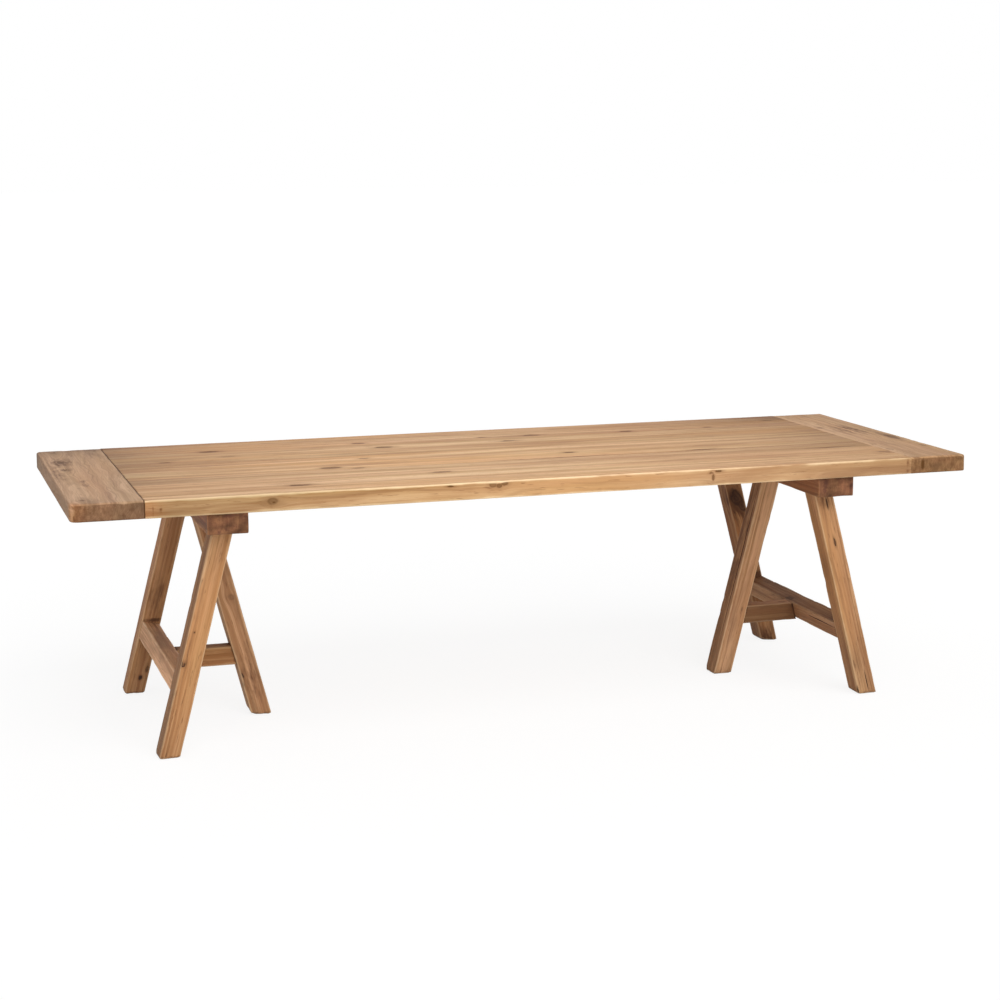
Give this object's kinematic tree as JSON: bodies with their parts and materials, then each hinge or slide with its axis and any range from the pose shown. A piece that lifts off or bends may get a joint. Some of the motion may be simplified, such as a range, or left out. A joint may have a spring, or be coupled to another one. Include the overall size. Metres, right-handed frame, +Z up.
{
  "type": "trestle table",
  "caption": "Long heavy plank table top with cross-grain end boards, resting on a pair of splayed wooden sawhorse trestles and lifting off them; for dining.",
  "frame": {"origin": "on the floor, under the middle of the table top", "axes": "+X along the table to the right, +Y from front to back, +Z up"},
  "size_m": [2.7, 1, 0.76],
  "materials": {
    "top_boards": "old pine, brushed and matt waxed",
    "left_end": "weathered grey-brown pine, matt",
    "right_end": "weathered brown pine, matt",
    "trestles": "old brown pine, matt, pale worn edges",
    "beams": "old dark brown pine, matt",
    "hardwood": "bare hardwood",
    "hidden_wood": "bare softwood"
  },
  "bodies": {
    "left_trestle": {"left_beam": "beams", "left_front_leg": "trestles", "left_back_leg": "trestles", "left_inner_leg": "trestles", "left_cross_stretcher": "trestles", "left_middle_stretcher": "trestles", "left_leg_wedges": "hardwood", "left_locating_dowels": "hardwood"},
    "top": {"top_board_1": "top_boards", "top_board_2": "top_boards", "top_board_3": "top_boards", "top_board_4": "top_boards", "top_board_5": "top_boards", "top_board_6": "top_boards", "left_end_board": "left_end", "right_end_board": "right_end", "top_spline_1": "hidden_wood", "top_spline_2": "hidden_wood", "top_spline_3": "hidden_wood", "top_spline_4": "hidden_wood", "top_spline_5": "hidden_wood", "left_end_pegs": "hidden_wood", "right_end_pegs": "hidden_wood"},
    "right_trestle": {"right_beam": "beams", "right_front_leg": "trestles", "right_back_leg": "trestles", "right_inner_leg": "trestles", "right_cross_stretcher": "trestles", "right_middle_stretcher": "trestles", "right_leg_wedges": "hardwood", "right_locating_dowels": "hardwood"}
  },
  "joints": [
    {"name": "top_lift", "type": "slide", "parent": "left_trestle", "child": "top", "axis": [0, 0, 1], "range_m": [0, 0.15]},
    {"name": "right_trestle_stay", "type": "slide", "parent": "top", "child": "right_trestle", "axis": [0, 0, -1], "range_m": [0, 0.15]}
  ],
  "couplings": [
    {"joint": "right_trestle_stay", "follows": "top_lift", "ratio": 1}
  ]
}
